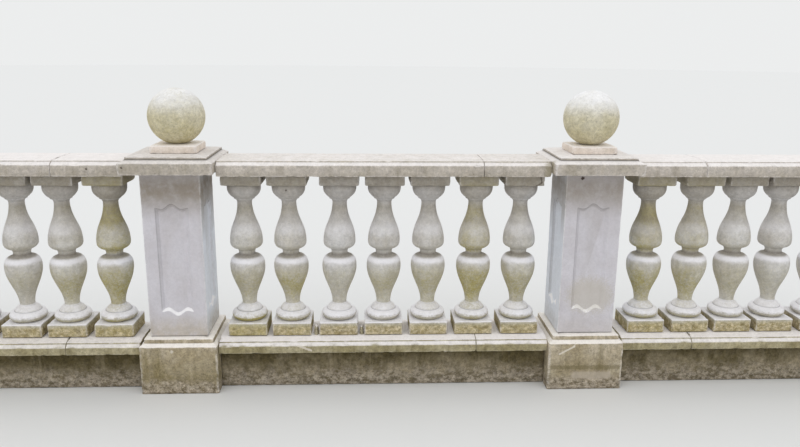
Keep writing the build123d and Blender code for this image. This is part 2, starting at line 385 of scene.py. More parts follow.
# %% Gather the nodes of a finish
class Finish:
    """A material or a world, and the nodes that make it."""

    def __init__(self, owner):
        self.owner = owner
        owner.use_nodes = True
        self.tree = owner.node_tree
        self.tree.nodes.clear()

    def node(self, kind, settings=None, inputs=None, output=0):
        """Adds a node: its settings first, then its sockets' values or links."""
        node = self.tree.nodes.new(kind)
        for name, value in (settings or {}).items():
            setattr(node, name, value)
        for name, value in (inputs or {}).items():
            if isinstance(value, Wrapped):
                self.tree.links.new(value.socket, node.inputs[name])
            else:
                node.inputs[name].default_value = value
        return Wrapped(self, node.outputs[output]) if len(node.outputs) else node

    def vector(self, operation, inputs, output=0):
        """Adds a Vector Math node. Its output 1 is the one that gives a number."""
        return self.node("ShaderNodeVectorMath", {"operation": operation}, inputs, output)

    def part(self, vector, axis):
        """One number of a vector: 0 is along the run and 2 is upwards."""
        return self.node("ShaderNodeSeparateXYZ", {}, {0: vector}, axis)

    def mix(self, factor, first, second):
        """A colour between two colours."""
        colours = {0: factor, 6: first, 7: second}
        return self.node("ShaderNodeMix", {"data_type": "RGBA"}, colours, output=2)

    def shade(self, colour, amount):
        """A colour made darker or paler by a factor that varies."""
        grey = self.node("ShaderNodeCombineColor", {}, {0: amount, 1: amount, 2: amount})
        multiply = {"data_type": "RGBA", "blend_type": "MULTIPLY", "clamp_result": True}
        return self.node("ShaderNodeMix", multiply, {0: 1.0, 6: colour, 7: grey}, output=2)

    def band(self, value, low, high):
        """0 below the low value, 1 above the high one, and smooth between."""
        smooth = {"interpolation_type": "SMOOTHSTEP"}
        return self.node("ShaderNodeMapRange", smooth, {"Value": value, 1: low, 2: high, 3: 0.0, 4: 1.0})

    def place(self, stretch=(1, 1, 1), shift=(0, 0, 0)):
        """The surface's own place in metres, stretched for streaks."""
        here = self.node("ShaderNodeTexCoord", output=3)
        return self.vector("ADD", {0: self.vector("MULTIPLY", {0: here, 1: stretch}), 1: shift})

    def noise(self, scale, detail=3.0, rough=0.6, stretch=(1, 1, 1), shift=(0, 0, 0)):
        """Cloudy noise between 0 and 1; scale is in cycles a metre."""
        where = self.place(stretch, shift)
        sizes = {"Vector": where, "Scale": scale, "Detail": detail, "Roughness": rough}
        return self.node("ShaderNodeTexNoise", {}, sizes)

    def line(self, start, end, width):
        """1 on the line between two places on the stone and 0 beyond its width, with a ragged edge."""
        reach = Vector(end) - Vector(start)
        here = self.vector("SUBTRACT", {0: self.place(), 1: start})
        along = self.vector("DOT_PRODUCT", {0: here, 1: reach}, output=1)
        clamped = {"operation": "DIVIDE", "use_clamp": True}
        share = self.node("ShaderNodeMath", clamped, {0: along, 1: max(reach.length_squared, 1e-9)})
        nearest = self.vector("SCALE", {0: reach, "Scale": share})
        away = self.vector("DISTANCE", {0: here, 1: nearest}, output=1)
        return 1 - self.band(away + width * (self.noise(170, 2, 0.6) - 0.5), 0.45 * width, width)

    def attribute(self, name):
        """A number kept in the mesh by the code above."""
        return self.node("ShaderNodeAttribute", {"attribute_name": name}, output=2)


print("a finish can mix colours, cloud them with noise and draw lines on the stone")

# %% [markdown]
# ## The weathered cast stone
#
# All the stones are one material in different states: a pale cement with sand in it, greyed and
# stained. A scanned texture would bring the stains of another wall, so one function makes each state
# from a few colours and amounts. Its layers lie on each other as they do on the stone: blotches in
# the casting, painted side light on the faces that look along the run, algae, soot mixed with painted
# shade, streaks that run down, soil at the foot, lichen, and tops and edges washed pale by rain.
# Sand specks, pores and dirt in the hollows then darken all of it, with painted shade in the joints,
# the gaps, the panel bevels and on the undersides; a few edges are painted highlights.


# %% Lay the stains over each other
def rgba(red, green, blue):
    """A colour given as it looks on screen, in 0 to 255, as the linear values a shader needs."""
    channels = [channel / 255 for channel in (red, green, blue)]
    linear = [((c + 0.055) / 1.055) ** 2.4 if c > 0.04045 else c / 12.92 for c in channels]
    return (*linear, 1.0)


def stained(finish, colour, upright, pale, stain, lichen, streaks):
    """Algae, and soot mixed with painted shade, where the mesh says so, then dark and pale streaks down the
    upright faces.
    """
    ragged = finish.band(finish.noise(24, 5, 0.7, shift=(1, 4, 6)), 0.25, 0.6)
    colour = finish.mix(finish.attribute("algae") * (0.3 + 0.6 * ragged), colour, lichen)
    # The soot amount paints the stain colour as real soot on some stones and as painted shade under caps,
    # bells and rails on others.
    colour = finish.mix(finish.attribute("soot_and_shade") * (0.7 + 0.3 * ragged), colour, stain)
    runs = finish.band(finish.noise(17, 4, 0.6, (1, 1, 0.12)), 0.47, 0.72) * upright
    colour = finish.mix(streaks * runs, colour, stain)
    pale_runs = finish.band(finish.noise(23, 3, 0.55, (1, 1, 0.09), (5, 3, 1)), 0.57, 0.75) * upright
    return finish.mix(0.6 * streaks * pale_runs, colour, pale)


def soiled_foot(finish, colour, pale, dark, low, high, raggedness):
    """Soil below a line between two heights, which wanders as much as the raggedness says."""
    height = finish.part(finish.place(), 2)
    ragged = height + 0.07 * raggedness * (finish.noise(11, 4, 0.65) - 0.5)
    ragged = ragged + 0.05 * raggedness * (finish.noise(45, 3, 0.6, (1, 1, 0.5)) - 0.5)
    crumbs = finish.band(finish.noise(48, 6, 0.8, (0.7, 0.7, 1), (8, 2, 3)), 0.4, 0.6)
    return finish.mix(finish.band(ragged, low, high), finish.mix(crumbs, dark, pale), colour)


def overgrown(finish, colour, facing_up, facing_down, lichen, top, washed_by, edge_wash):
    """Lichen in patches, then tops and edges washed pale. Gives the colour and the washed share."""
    patches = finish.band(finish.noise(13, 5, 0.7, shift=(3, 7, 2)), 0.3, 0.68)
    crust = finish.band(finish.noise(120, 3, 0.6), 0.3, 0.62)
    growth = finish.attribute("lichen") * (0.3 + 0.3 * patches + 0.3 * facing_down) * (0.6 + 0.4 * crust)
    colour = finish.mix(growth, colour, lichen)
    ragged_wash = facing_up + 0.16 * (finish.noise(60, 4, 0.6) - 0.5)
    washed = finish.band(ragged_wash, *washed_by) * (1 - finish.attribute("soot_and_shade")) * (1 - 0.8 * growth)
    colour = finish.mix(washed * 0.95, colour, top)
    edge = finish.band(finish.attribute("edge"), 0.15, 0.6)
    worn_edge = edge * finish.band(finish.noise(38, 4, 0.65), 0.35, 0.6)
    return finish.mix(edge_wash * worn_edge, colour, top), washed


def grained(finish, colour, washed, shadow, speckle, dirt):
    """Sand specks, pores, dirt and painted shade in the marked hollows, and the painted shade of the shadow
    factor, darken the colour. Gives the colour and the height of the grain.
    """
    specks = finish.band(finish.noise(420, 2, 0.5), 0.58, 0.7)
    pores = finish.band(finish.noise(190, 2, 0.6, shift=(2, 5, 4)), 0.6, 0.72)
    fine_mottle = finish.band(finish.noise(85, 4, 0.72), 0.3, 0.7)
    coarse_mottle = finish.band(finish.noise(34, 5, 0.75), 0.32, 0.68)
    marked = speckle * (1 - 0.75 * washed) * (1 + 1.2 * finish.attribute("algae"))
    mottled = 1 + marked * (0.32 * (fine_mottle + coarse_mottle) - 0.32)
    pitted = 1 - marked * (0.3 * specks + 0.38 * pores)
    # Marked hollows darken with dirt, and with painted shade where the marks stand for gaps, joints and the
    # panel bevel.
    hollows = finish.band(0 - finish.attribute("edge"), 0.06, 0.45)
    dirtied = 1 - dirt * hollows * (1 - 0.5 * washed)
    relief = finish.noise(160, 4, 0.65) - 0.9 * pores - 0.35 * specks
    return finish.shade(colour, mottled * pitted * dirtied * shadow), relief


print("pale stone in linear values:", [round(value, 2) for value in rgba(214, 212, 212)])

# %% Make a state of the stone
grain_depth = 1.6 * MM


def cast_stone(name, pale, grey, stain, lichen, top, streaks, speckle, foot=None, sides=None,
               washed_by=(0.35, 0.85), edge_wash=0.4, dirt=0.68, under=0.0, scars=()):
    """One state of the weathered stone.

    The foot is (pale, dark, low height, high height, raggedness), the sides are a paler colour painted
    on faces that look along the run as painted side light, under is the painted shade on undersides,
    and a scar is (start, end, width, colour, amount).
    """
    finish = Finish(bpy.data.materials.new(name))
    normal = finish.node("ShaderNodeNewGeometry", output=1)
    facing_up = finish.part(normal, 2)
    facing_down = finish.band(0 - facing_up, 0.0, 0.55)
    upright = 1 - finish.band(facing_up, 0.3, 0.8)
    blotches = finish.band(finish.noise(6, 4, 0.62), 0.36, 0.64)
    colour = finish.mix(blotches, grey, pale)
    # Painted side light: faces that look along the run are mixed towards the paler, bluer sides colour.
    if sides:
        along_run = finish.part(normal, 0)
        side_light_share = finish.band(along_run * along_run, 0.3, 0.85)
        colour = finish.mix(0.9 * side_light_share, colour, sides)
    colour = stained(finish, colour, upright, pale, stain, lichen, streaks)
    if foot:
        colour = soiled_foot(finish, colour, *foot)
    colour, washed = overgrown(finish, colour, facing_up, facing_down, lichen, top, washed_by, edge_wash)
    # The shadow factor here is painted shade, darkening undersides as much as under says.
    colour, relief = grained(finish, colour, washed, 1 - under * facing_down, speckle, dirt)
    for start, end, width, scar_colour, scar_amount in scars:
        colour = finish.mix(scar_amount * finish.line(start, end, width), colour, scar_colour)

    bump = finish.node("ShaderNodeBump", {}, {"Strength": 0.55, "Distance": grain_depth, "Height": relief})
    surface = {"Base Color": colour, "Roughness": 0.96 - 0.12 * washed, "Normal": bump}
    surface["Specular IOR Level"] = 0.25
    shader = finish.node("ShaderNodeBsdfPrincipled", {}, surface)
    finish.node("ShaderNodeOutputMaterial", {}, {"Surface": shader})
    return finish.owner


print("the grain is", grain_depth / MM, "mm deep")

# %% [markdown]
# A few marks are what someone who knows this railing would look for: holes, cracks, scratches and
# patches of soil. A painted picture of them would need an image file. Each is a line between two
# places on the stone instead, given in metres, and a round mark is a line that ends where it starts.


# %% Place the marks on the stones
def spot(place, radius, colour, amount):
    """A round mark, in the form of a line from a place to itself."""
    return place, place, radius, colour, amount


bolt_hole = spot((0.891, -0.132, 1.012), 0.011, rgba(66, 52, 48), 0.95)
soiled_panel = ((0.94, -0.121, 0.455), (0.99, -0.121, 0.45), 0.11, rgba(190, 180, 154), 0.4)
cap_hole = spot((-1.131, -0.203, 1.068), 0.006, rgba(84, 74, 64), 0.9)
rail_hole = spot((-1.301, -0.142, 1.053), 0.007, rgba(84, 74, 64), 0.9)
soiled_break = ((0.742, -0.142, 1.02), (0.742, -0.142, 1.075), 0.036, rgba(146, 136, 106), 0.55)
rail_scratch = ((-0.404, -0.15, 0.223), (-0.344, -0.15, 0.199), 0.007, rgba(226, 217, 204), 0.8)
pale_band = ((0.904, -0.178, 0.073), (1.058, -0.178, 0.071), 0.026, rgba(190, 178, 163), 0.65)
tide_mark = ((0.79, -0.178, 0.113), (1.11, -0.178, 0.111), 0.014, rgba(118, 108, 78), 0.6)
scratch_corner = (0.89, -0.178, 0.217)
base_scratch = (scratch_corner, (0.825, -0.178, 0.181), 0.006, rgba(226, 218, 204), 0.85)
scratch_hook = ((0.898, -0.17, 0.232), scratch_corner, 0.006, rgba(226, 218, 204), 0.85)
pale_chip = spot((-0.979, -0.178, 0.211), 0.01, rgba(220, 212, 198), 0.8)
drum_hole = spot((-0.447, -0.077, 0.946), 0.006, rgba(84, 74, 66), 0.9)
crack_bend = (0.716, -0.091, 0.983)
abacus_crack = ((0.71, -0.091, 1.011), crack_bend, 0.005, rgba(92, 82, 70), 0.7)
abacus_crack_end = (crack_bend, (0.691, -0.091, 0.968), 0.005, rgba(92, 82, 70), 0.7)
print("the bolt hole is", 2 * bolt_hole[2] / MM, "mm across")

# %% Mix the finishes
finishes = {
    "die_stone": cast_stone(
        "pale cast stone of the piers",
        # The stain colour is also the painted shade under the cap.
        pale=rgba(214, 211, 217), grey=rgba(207, 203, 208), stain=rgba(153, 144, 134),
        # The pale blue sides colour is painted light on the faces that look along the run.
        lichen=rgba(180, 166, 138), top=rgba(252, 250, 250), sides=rgba(236, 241, 250),
        streaks=0.12, speckle=0.2, washed_by=(0.2, 0.6), edge_wash=0.25,
        scars=[bolt_hole, soiled_panel],
    ),
    "rail_stone": cast_stone(
        "rain washed cast stone of the top rail",
        pale=rgba(208, 200, 194), grey=rgba(188, 180, 172), stain=rgba(132, 122, 106),
        lichen=rgba(176, 165, 134), top=rgba(250, 245, 243),
        streaks=0.4, speckle=0.8, edge_wash=0.5, scars=[cap_hole, rail_hole, soiled_break],
    ),
    "base_rail_stone": cast_stone(
        "stained cast stone of the base rail",
        pale=rgba(188, 179, 152), grey=rgba(160, 150, 118), stain=rgba(108, 99, 68),
        lichen=rgba(152, 139, 92), top=rgba(255, 250, 249),
        streaks=0.6, speckle=1.0, washed_by=(0.38, 0.78), edge_wash=0.1, scars=[rail_scratch],
    ),
    "pier_base_stone": cast_stone(
        "lichen stained cast stone of the pier bases",
        pale=rgba(204, 192, 172), grey=rgba(176, 162, 136), stain=rgba(110, 98, 60),
        lichen=rgba(156, 142, 100), top=rgba(255, 249, 242),
        foot=(rgba(196, 184, 168), rgba(112, 101, 84), 0.04, 0.085, 1),
        streaks=0.6, speckle=1.1, washed_by=(0.3, 0.7), edge_wash=0.35, dirt=0.25,
        scars=[pale_band, tide_mark, base_scratch, scratch_hook, pale_chip],
    ),
    "plinth_stone": cast_stone(
        "algae dark cast stone of the plinth walls",
        # The stain colour also paints the shade under the rail.
        pale=rgba(166, 154, 131), grey=rgba(96, 86, 62), stain=rgba(70, 61, 36),
        lichen=rgba(118, 107, 70), top=rgba(206, 202, 192),
        foot=(rgba(184, 173, 158), rgba(108, 98, 82), 0.02, 0.125, 1),
        streaks=0.65, speckle=1.2, edge_wash=0.25,
    ),
    "baluster_stone": cast_stone(
        "lichened cast stone of the balusters",
        # The stain colour also paints the shade under the bell, at the waist and at the joint.
        pale=rgba(214, 212, 212), grey=rgba(203, 199, 196), stain=rgba(152, 144, 134),
        lichen=rgba(175, 164, 108), top=rgba(250, 248, 251),
        foot=(rgba(210, 197, 168), rgba(152, 137, 100), 0.282, 0.318, 0.35),
        # under paints shade on the balusters' undersides.
        streaks=0.35, speckle=0.55, washed_by=(0.08, 0.42), edge_wash=0.6, under=0.1,
        scars=[drum_hole, abacus_crack, abacus_crack_end],
    ),
    "finial_base_stone": cast_stone(
        "pink cream cast stone under the balls",
        pale=rgba(248, 236, 228), grey=rgba(236, 222, 212), stain=rgba(160, 146, 128),
        lichen=rgba(190, 178, 142), top=rgba(252, 246, 242), streaks=0.2, speckle=0.4,
    ),
    "ball_stone": cast_stone(
        "speckled cast stone of the balls",
        pale=rgba(217, 211, 191), grey=rgba(205, 198, 172), stain=rgba(140, 130, 96),
        lichen=rgba(186, 174, 124), top=rgba(250, 250, 254),
        streaks=0.1, speckle=0.8, washed_by=(-0.05, 0.8),
    ),
}
print("finishes:", ", ".join(finishes))

# %% [markdown]
# ## The pier bases, the caps and the ball bases
#
# Each is a casting of square plan whose four sides follow one outline. A cube could be inset and
# extruded step by step to the same form. A stack of square rings keeps the outline in one short
# list, whose sizes come from the CAD node's box and from the small moulding sizes named here.

# %% Stack a square block
ring_spacing = 11 * MM


def square_block(node, slot, outline, corner_radius, rounding, across, hollow, chip, soot_and_shade_at=None,
                 lichen_at=None):
    """A worn block from its outline of (half width, height) points, foot to top."""
    low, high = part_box(node)
    middle = (low[0] + high[0]) / 2
    profile = spaced(rounded(outline, rounding), ring_spacing)
    rows, marks = square_rows(profile, corner_radius, across, middle)
    bm = bmesh.new()
    add_skin(bm, rows, marks)
    wear(bm, hollow, chip)
    darken_joint(bm, 0)
    if soot_and_shade_at:
        stain(bm, "soot_and_shade", soot_and_shade_at)
    if lichen_at:
        stain(bm, "lichen", lichen_at)
    return place_stone(bm, node, slot)


def half_length(node):
    """Half of the length that a stone takes along the run."""
    low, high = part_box(node)
    return (high[0] - low[0]) / 2


print("half of a pier base:", round(half_length("pier_1_base") / MM, 1), "mm")

# %% Set the pier bases
base_ledge_rise = 14 * MM
base_ledge_width = 19.5 * MM
base_riser_height = 20 * MM
base_seat_rise = 3.5 * MM
base_under_edge = 6 * MM
base_seat_inset = 20 * MM
die_half = 132 * MM
block_head = 214 * MM
lichen_fade = 8 * MM
splash_height = 205 * MM
splash_fade = 120 * MM
dry_pier = 3


def pier_base(pier):
    """A square block with a sloping ledge, a riser and a slightly raised seat."""
    node = f"pier_{pier}_base"
    low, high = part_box(node)
    half = half_length(node)
    riser_top = high[2] - base_seat_rise
    ledge_top = riser_top - base_riser_height
    riser = half - base_ledge_width
    outline = [
        (half - base_under_edge, 0), (half, 0), (half, ledge_top - base_ledge_rise), (riser, ledge_top),
        (riser, riser_top), (die_half, high[2]), (die_half - base_seat_inset, high[2]),
    ]
    dampness = 0.35 if pier == dry_pier else 0.75
    lichen = 0.3 if pier == dry_pier else 0.5

    def damp_line(place):
        """The dark band that splashing rain leaves, fading upwards."""
        return dampness * ramp(splash_height - place.z, 0, splash_fade)

    def block_lichen(place):
        """Lichen keeps to the block and leaves the moulding above it clean."""
        return lichen * (1 - ramp(place.z, block_head, block_head + lichen_fade))

    square_block(
        node, "pier_base_stone", outline, corner_radius=7 * MM, rounding=4 * MM, across=30,
        hollow=1.6 * MM, chip=9 * MM, soot_and_shade_at=damp_line, lichen_at=block_lichen,
    )


piers = sorted({int(name.split("_")[1]) for name in stone_nodes if name.startswith("pier")})
for pier in piers:
    pier_base(pier)
print("pier bases:", len(piers))

# %% Set the caps and the ball bases
cap_band = 52 * MM
cap_ledge_rise = 13 * MM
cap_ledge_width = 27 * MM
cap_riser = 12 * MM
cap_under_edge = 30 * MM
cap_field_inset = 25 * MM
ball_base_under_edge = 8 * MM
ball_base_round = 11 * MM


def pier_cap(pier):
    """A slab with an upright band, a sloping ledge, a riser and a field that rises to the ball base."""
    node = f"pier_{pier}_cap"
    low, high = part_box(node)
    foot, field = low[2], high[2]
    half = half_length(node)
    block_half = half_length(f"pier_{pier}_ball_base")
    riser = half - cap_ledge_width
    ledge_top = foot + cap_band + cap_ledge_rise
    outline = [
        (half - cap_under_edge, foot), (half, foot), (half, foot + cap_band), (riser, ledge_top),
        (riser, ledge_top + cap_riser), (block_half, field), (block_half - cap_field_inset, field),
    ]
    cap_soot = 0.28 if pier % 2 == 0 else 0.05
    square_block(
        node, "rail_stone", outline, corner_radius=6 * MM, rounding=4 * MM, across=34,
        hollow=1.4 * MM, chip=9 * MM, soot_and_shade_at=lambda place: cap_soot,
    )


def ball_base(pier):
    """A low square block with round upper edges."""
    node = f"pier_{pier}_ball_base"
    low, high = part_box(node)
    foot, top = low[2], high[2]
    half = half_length(node)
    outline = [(half - ball_base_under_edge, foot), (half, foot), (half, top), (half / 2, top)]
    square_block(
        node, "finial_base_stone", outline, corner_radius=ball_base_round, rounding=ball_base_round,
        across=16, hollow=1.0 * MM, chip=5 * MM,
    )


for pier in piers:
    pier_cap(pier)
    ball_base(pier)
print("caps and ball bases:", len(piers), "each")

# %% [markdown]
# ## The balls
#
# The finial is a plain ball, bedded on a small flat. A ready made sphere would need its foot cut off.
# Rings from the flat to the top need no cut, and the wear and the shader's pores give the ball the
# pitted face of cement that has lost its skin.

# %% Turn the balls
ball_sides = 84
ball_rings = 56


def ball(pier):
    """A ball of rings from the edge of its seat to just below its top."""
    node = f"pier_{pier}_ball"
    low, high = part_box(node)
    radius = half_length(node)
    centre = high[2] - radius
    seat_angle = math.asin((low[2] - centre) / radius)
    angles = [seat_angle + (math.pi / 2 - seat_angle) * i / ball_rings for i in range(ball_rings)]
    profile = [(radius * math.cos(a), centre + radius * math.sin(a)) for a in angles]
    rows = turned_rows(profile, ball_sides, (low[0] + high[0]) / 2)
    bm = bmesh.new()
    add_skin(bm, rows, [[0.0] * ball_sides] * len(rows))
    wear(bm, hollow=1.4 * MM, chip=0)
    place_stone(bm, node, "ball_stone", lichen=0.9 if pier == 2 else 0.6)


for pier in piers:
    ball(pier)
print("ball radius", round(half_length("pier_1_ball") / MM, 1), "mm")

# %% [markdown]
# ## The dies
#
# The pier's shaft has a panel sunk into each face, with ears and an outward lobe at its head and
# foot. A boolean would leave long thin triangles that shade badly. Instead each face is made of
# rings that follow the panel's outline: outside it they spread to the face's edges, and inside it
# they step down the moulded bevel.

# %% Draw the panel's rings
panel_width = 150 * MM
panel_foot_margin = 118 * MM
panel_head_margin = 156 * MM
panel_lobe = 19 * MM
panel_ear = 5 * MM
panel_ear_width = 31 * MM
panel_bevel = 17 * MM
panel_depth = 11 * MM
panel_lip = 2 * MM
panel_floor_inset = 3 * MM
bevel_steps = 8
margin_shares = (0, 0.12, 0.35, 0.6, 0.85, 1)
die_arris = 4 * MM
points_up = 44
points_across = 36


def panel_end(x, side, end):
    """Height of the panel's end at x: level at the corner, an ear, then the lobe."""
    ear = panel_width / 2 - panel_ear_width
    if abs(x) < ear:
        return end - panel_ear + (panel_lobe + panel_ear) * (0.5 + 0.5 * math.cos(math.pi * x / ear))
    share = (abs(x) - ear) / (side - ear)
    return end - panel_ear * (0.5 + 0.5 * math.cos(math.pi * share))


def panel_ring(inset, panel_height):
    """The panel's outline drawn inside itself by the inset, anticlockwise from its lower right."""
    side = panel_width / 2 - inset
    end = panel_height / 2 - inset
    ring = [(side, end * (2 * i / points_up - 1)) for i in range(points_up)]
    across = [side * (1 - 2 * i / points_across) for i in range(points_across)]
    ring += [(x, panel_end(x, side, end)) for x in across]
    return ring + [(-x, -z) for x, z in ring]


def face_edge(half, low, high):
    """The face's own edges with as many points as a panel ring."""
    ring = [(half, low + (high - low) * i / points_up) for i in range(points_up)]
    ring += [(half * (1 - 2 * i / points_across), high) for i in range(points_across)]
    ring += [(-half, high + (low - high) * i / points_up) for i in range(points_up)]
    ring += [(-half * (1 - 2 * i / points_across), low) for i in range(points_across)]
    return ring


def ring_marks(right, top, left, foot):
    """The marks of a panel ring, one amount for each of its four sides."""
    return [right] * points_up + [top] * points_across + [left] * points_up + [foot] * points_across


print("a panel ring has", len(panel_ring(0, 0.49)), "points")


# %% Build the dies
def die_face_rows(half, height):
    """Rings from the face's edges to the panel's floor, as (across, up, in) and their marks."""
    panel_height = height - panel_foot_margin - panel_head_margin
    panel_middle = (panel_foot_margin - panel_head_margin) / 2
    edge_ring = face_edge(half, -height / 2 - panel_middle, height / 2 - panel_middle)
    outer_ring = panel_ring(-panel_lip, panel_height)
    plain = ring_marks(0.0, 0.0, 0.0, 0.0)
    # Painted light and shade on the panel's bevel: its right side is marked as an edge, which paints it
    # pale, and its top and left as a hollow, which paints them dark, as light from the left would fall.
    bevel_light_and_shade = ring_marks(0.3, -0.24, -0.22, 0.0)
    faint_bevel_light_and_shade = ring_marks(0.2, -0.14, -0.16, 0.0)
    rows = []
    marks = []
    for share in margin_shares:
        rows.append([(a * (1 - share) + c * share, b * (1 - share) + d * share, 0)
                     for (a, b), (c, d) in zip(edge_ring, outer_ring)])
        marks.append(plain)
    for step in range(bevel_steps + 1):
        share = step / bevel_steps
        sunk = panel_depth * (0.6 * share + 0.4 * share * share * (3 - 2 * share))
        rows.append([(a, b, sunk) for a, b in panel_ring(panel_bevel * share, panel_height)])
        marks.append(bevel_light_and_shade if step in (1, 2) else faint_bevel_light_and_shade if 2 < step < bevel_steps else plain)
    floor_ring = panel_ring(panel_bevel + panel_floor_inset, panel_height)
    rows.append([(a, b, panel_depth) for a, b in floor_ring])
    marks.append(plain)
    return [[(a, b + panel_middle, c) for a, b, c in row] for row in rows], marks


def panelled_die(pier):
    """A square shaft with a panel in each face, its arrises rounded afterwards."""
    node = f"pier_{pier}_die"
    low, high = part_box(node)
    half = half_length(node)
    middle = Vector(((low[0] + high[0]) / 2, 0, (low[2] + high[2]) / 2))
    rows, marks = die_face_rows(half, high[2] - low[2])
    bm = bmesh.new()
    for side in range(4):
        turn = Matrix.Rotation(math.pi / 2 * side, 3, "Z")
        placed = [[middle + turn @ Vector((a, c - half, b)) for a, b, c in row] for row in rows]
        add_skin(bm, placed, marks, first_cap=False)
    bmesh.ops.remove_doubles(bm, verts=bm.verts, dist=0.1 * MM)
    bmesh.ops.holes_fill(bm, edges=bm.edges, sides=0)
    bmesh.ops.recalc_face_normals(bm, faces=bm.faces)
    arrises = [edge for edge in bm.edges if edge.calc_face_angle(0) > 1]
    bmesh.ops.bevel(bm, geom=arrises, offset=die_arris, segments=3, profile=0.5, affect="EDGES")
    layer = bm.verts.layers.float["edge"]
    for vert in bm.verts:
        reach = [abs(vert.co[axis] - middle[axis]) for axis in (0, 1)]
        if min(reach) > half - 1.2 * die_arris:
            vert[layer] = corner_mark
    wear(bm, hollow=0.8 * MM, chip=6 * MM)
    darken_joint(bm, low[2], reach=3 * MM)
    stain_die(bm, middle.x, half, low[2], high[2])
    return place_stone(bm, node, "die_stone", lichen=0.1)


def stain_die(bm, middle, half, foot, head):
    """Soot with painted shade under the cap, and algae at the foot, both thicker on the piers left of the
    centre.
    """
    head_soot_and_shade, damp = (1.0, 0.6) if middle < 0 else (0.85, 0.2)
    front_reach, side_reach = 215 * MM, 320 * MM
    damp_height, damp_fade = 110 * MM, 70 * MM

    def soot_and_shade_at(place):
        """A flat brown stain mixed with painted shade under the cap, paler right at the top and longer on
        the sides.
        """
        depth = head - place.z
        reach = side_reach if abs(place.x - middle) > half - 2 * MM else front_reach
        return head_soot_and_shade * (0.45 + 0.55 * ramp(depth, 0, 50 * MM)) * (1 - ramp(depth, 95 * MM, reach))

    stain(bm, "soot_and_shade", soot_and_shade_at)
    stain(bm, "algae", lambda place: damp * ramp(foot + damp_height - place.z, 0, damp_fade))


for pier in piers:
    die = panelled_die(pier)
print("faces in a die:", len(die.data.polygons))

# %% [markdown]
# ## The rails and the plinth walls
#
# A rail is one section run along X, and a wall is the same with four corners. A stretched box would
# have no points along it to wear, so the section is repeated every few millimetres. Its ends are a
# little smaller, which makes the joint between two stones a fine dark line, as it is where mortar
# has washed out.

# %% Run a section along X
# An end ring is the distance from the stone's end and the millimetres that the section shrinks by.
run_spacing = 11 * MM
section_spacing = 10 * MM
end_rings = [(0, 3.0), (0.6 * MM, 1.4), (1.8 * MM, 0.4)]
whole_from = 3.5 * MM
end_mark = 0.6
lump_sides = 18
lump_steps = 6
lump_depth = 1.8
lump_sunk = 2 * MM
lump_raggedness = 4 * MM


def add_lump(bm, lump, seat):
    """A heap of old mortar on a flat seat, given as (x, y, half width, height), deeper than wide."""
    x, y, half_width, height = lump
    shares = [step / lump_steps for step in range(lump_steps + 1)]
    profile = [
        (half_width * (1.15 - 0.5 * share * share - 0.1 * share), seat - lump_sunk + height * share)
        for share in shares
    ]
    rows = []
    for row in turned_rows(profile, lump_sides, x, y):
        ragged = [lump_raggedness * noise.noise(Vector(point) * 60) for point in row]
        rows.append([(px, y + lump_depth * (py - y) + step, pz) for (px, py, pz), step in zip(row, ragged)])
    add_skin(bm, rows, [[0.5] * lump_sides] * len(rows))


def run_of_stone(node, slot, corners, rounding, hollow, chip, lichen_at, soot_and_shade_at, scoops=(), lumps=()):
    """A worn stone with a closed section of (y, z) corners, anticlockwise seen from +X."""
    low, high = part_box(node)
    section = spaced(rounded(corners, rounding, closed=True), section_spacing, closed=True)
    marks = standing_out(section, edge_reach, closed=True)
    centre = sum(section, Vector((0, 0))) / len(section)
    length = high[0] - low[0]
    count = max(4, round(length / run_spacing))
    places = list(end_rings)
    places += [(whole_from + (length - 2 * whole_from) * i / count, 0) for i in range(count + 1)]
    places += [(length - along, shrink) for along, shrink in reversed(end_rings)]
    rows = []
    row_marks = []
    for along, shrink in places:
        ring = []
        for point in section:
            inwards = centre - point
            step = Vector((math.copysign(1, inwards.x), math.copysign(1, inwards.y))) * shrink * MM
            ring.append((low[0] + along, point.x + step.x, point.y + step.y))
        rows.append(ring)
        row_marks.append([max(mark, end_mark) if shrink else mark for mark in marks])
    bm = bmesh.new()
    add_skin(bm, rows, row_marks)
    for lump in lumps:
        add_lump(bm, lump, high[2])
    wear(bm, hollow, chip)
    for centre, radius in scoops:
        scoop(bm, Vector(centre), radius)
    darken_joint(bm, 0)
    stain(bm, "lichen", lichen_at)
    stain(bm, "soot_and_shade", soot_and_shade_at)
    return place_stone(bm, node, slot)


def rail_corners(node, band, ledge_width, ledge_rise, riser, crest_half):
    """The rail's section from its node's box: band, sloping ledge, riser and a top that sheds water."""
    low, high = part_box(node)
    half = (high[1] - low[1]) / 2
    ledge_top = low[2] + band + ledge_rise
    front = [
        (half, low[2]), (half, low[2] + band), (half - ledge_width, ledge_top),
        (half - ledge_width, ledge_top + riser), (crest_half, high[2]),
    ]
    return front + [(-y, z) for y, z in reversed(front)]


print("the ends of a stone shrink by", end_rings[0][1], "mm")

# %% Lay the rails
photo_bay = 2
broken_corner = [((0.749, -0.143, 1.016), 15 * MM), ((0.734, -0.145, 1.015), 9 * MM)]
mortar = [(-0.323, -0.06, 11 * MM, 44 * MM), (-0.108, -0.06, 10 * MM, 38 * MM)]
base_rail_top_lichens = {1: 0.5, 2: 0.0, 3: 0.15}
side_lichen = 0.5
underside_soot = 0.35
underside_reach = 32 * MM
top_rail_ledge = 60 * MM
base_rail_ledge = 38 * MM


